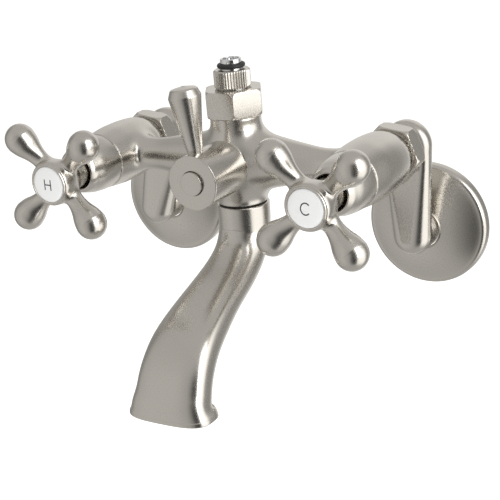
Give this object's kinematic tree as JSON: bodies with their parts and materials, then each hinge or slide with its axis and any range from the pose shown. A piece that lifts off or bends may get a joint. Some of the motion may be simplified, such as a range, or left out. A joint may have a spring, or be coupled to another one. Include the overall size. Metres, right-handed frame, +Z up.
{
  "type": "wall mounted bath faucet",
  "caption": "Wall mounted bath faucet with cross handles, porcelain buttons, lever diverter, S-shaped tub spout, riser outlet and swinging supply arms with round wall plates.",
  "frame": {"origin": "on the wall plane, behind the middle of the body, level with the two valve axes", "axes": "+X towards the cold side, +Y into the wall, +Z up; the spout and handles face -Y"},
  "size_m": [0.2362, 0.182, 0.1659],
  "materials": {
    "satin_nickel": "warm satin nickel plating with fine brushing",
    "raw_brass": "machined brass",
    "bright_chrome": "polished chrome plating",
    "porcelain": "glossy white glaze",
    "black_rubber": "moulded rubber",
    "alumina": "lapped alumina",
    "bright_steel": "plain stainless steel"
  },
  "bodies": {
    "faucet_body": {"main_body": "satin_nickel", "hot_bonnet": "satin_nickel", "cold_bonnet": "satin_nickel", "hot_cartridge": "raw_brass", "cold_cartridge": "raw_brass", "hot_fixed_disc": "alumina", "cold_fixed_disc": "alumina", "hot_seat_seal": "black_rubber", "cold_seat_seal": "black_rubber", "diverter_bonnet": "raw_brass", "diverter_gland_seal": "black_rubber", "spout": "satin_nickel", "spout_nipple": "raw_brass", "spout_ring": "black_rubber", "riser_washer": "black_rubber", "riser_nipple": "bright_chrome", "riser_o_ring": "black_rubber"},
    "hot_valve_handle": {"hot_handle": "satin_nickel", "hot_handle_screw": "bright_steel", "hot_index_button": "porcelain", "hot_stem": "raw_brass", "hot_moving_disc": "alumina"},
    "cold_valve_handle": {"cold_handle": "satin_nickel", "cold_handle_screw": "bright_steel", "cold_index_button": "porcelain", "cold_stem": "raw_brass", "cold_moving_disc": "alumina"},
    "diverter": {"diverter_knob": "satin_nickel", "diverter_lever": "satin_nickel", "diverter_screw": "bright_steel", "diverter_cap": "satin_nickel", "diverter_stem": "raw_brass", "diverter_plug": "raw_brass"},
    "riser_union": {"riser_nut": "satin_nickel"},
    "riser_thumb_collar": {"riser_collar": "satin_nickel"},
    "hot_arm": {"hot_swing_arm": "satin_nickel", "hot_union_washer": "black_rubber"},
    "cold_arm": {"cold_swing_arm": "satin_nickel", "cold_union_washer": "black_rubber"},
    "hot_union": {"hot_union_nut": "satin_nickel"},
    "cold_union": {"cold_union_nut": "satin_nickel"},
    "hot_wall_plate": {"hot_escutcheon": "satin_nickel"},
    "cold_wall_plate": {"cold_escutcheon": "satin_nickel"}
  },
  "joints": [
    {"name": "hot_handle_turn", "type": "hinge", "parent": "faucet_body", "child": "hot_valve_handle", "pos_m": [-0.0762, -0.1335, 0], "axis": [0, -1, 0], "range_deg": [0, 90]},
    {"name": "cold_handle_turn", "type": "hinge", "parent": "faucet_body", "child": "cold_valve_handle", "pos_m": [0.0762, -0.1335, 0], "axis": [0, -1, 0], "range_deg": [-90, 0]},
    {"name": "diverter_turn", "type": "hinge", "parent": "faucet_body", "child": "diverter", "pos_m": [0, -0.11, 0], "axis": [0, -1, 0], "range_deg": [-90, 0]},
    {"name": "riser_nut_turn", "type": "hinge", "parent": "faucet_body", "child": "riser_union", "pos_m": [0, -0.0735, 0.031], "axis": [0, 0, 1], "continuous": true},
    {"name": "riser_collar_turn", "type": "hinge", "parent": "faucet_body", "child": "riser_thumb_collar", "pos_m": [0, -0.0735, 0.044], "axis": [0, 0, 1], "continuous": true},
    {"name": "hot_arm_swing", "type": "hinge", "parent": "faucet_body", "child": "hot_arm", "pos_m": [-0.0762, -0.0443, 0], "axis": [0, 1, 0], "range_deg": [-63, 27]},
    {"name": "cold_arm_swing", "type": "hinge", "parent": "faucet_body", "child": "cold_arm", "pos_m": [0.0762, -0.0443, 0], "axis": [0, -1, 0], "range_deg": [-44, 46]},
    {"name": "hot_union_turn", "type": "hinge", "parent": "hot_arm", "child": "hot_union", "pos_m": [-0.0762, -0.0455, 0], "axis": [0, 1, 0], "continuous": true},
    {"name": "cold_union_turn", "type": "hinge", "parent": "cold_arm", "child": "cold_union", "pos_m": [0.0762, -0.0455, 0], "axis": [0, 1, 0], "continuous": true},
    {"name": "hot_escutcheon_slide", "type": "slide", "parent": "hot_arm", "child": "hot_wall_plate", "axis": [0, -1, 0], "range_m": [0, 0.006]},
    {"name": "cold_escutcheon_slide", "type": "slide", "parent": "cold_arm", "child": "cold_wall_plate", "axis": [0, -1, 0], "range_m": [0, 0.006]}
  ]
}
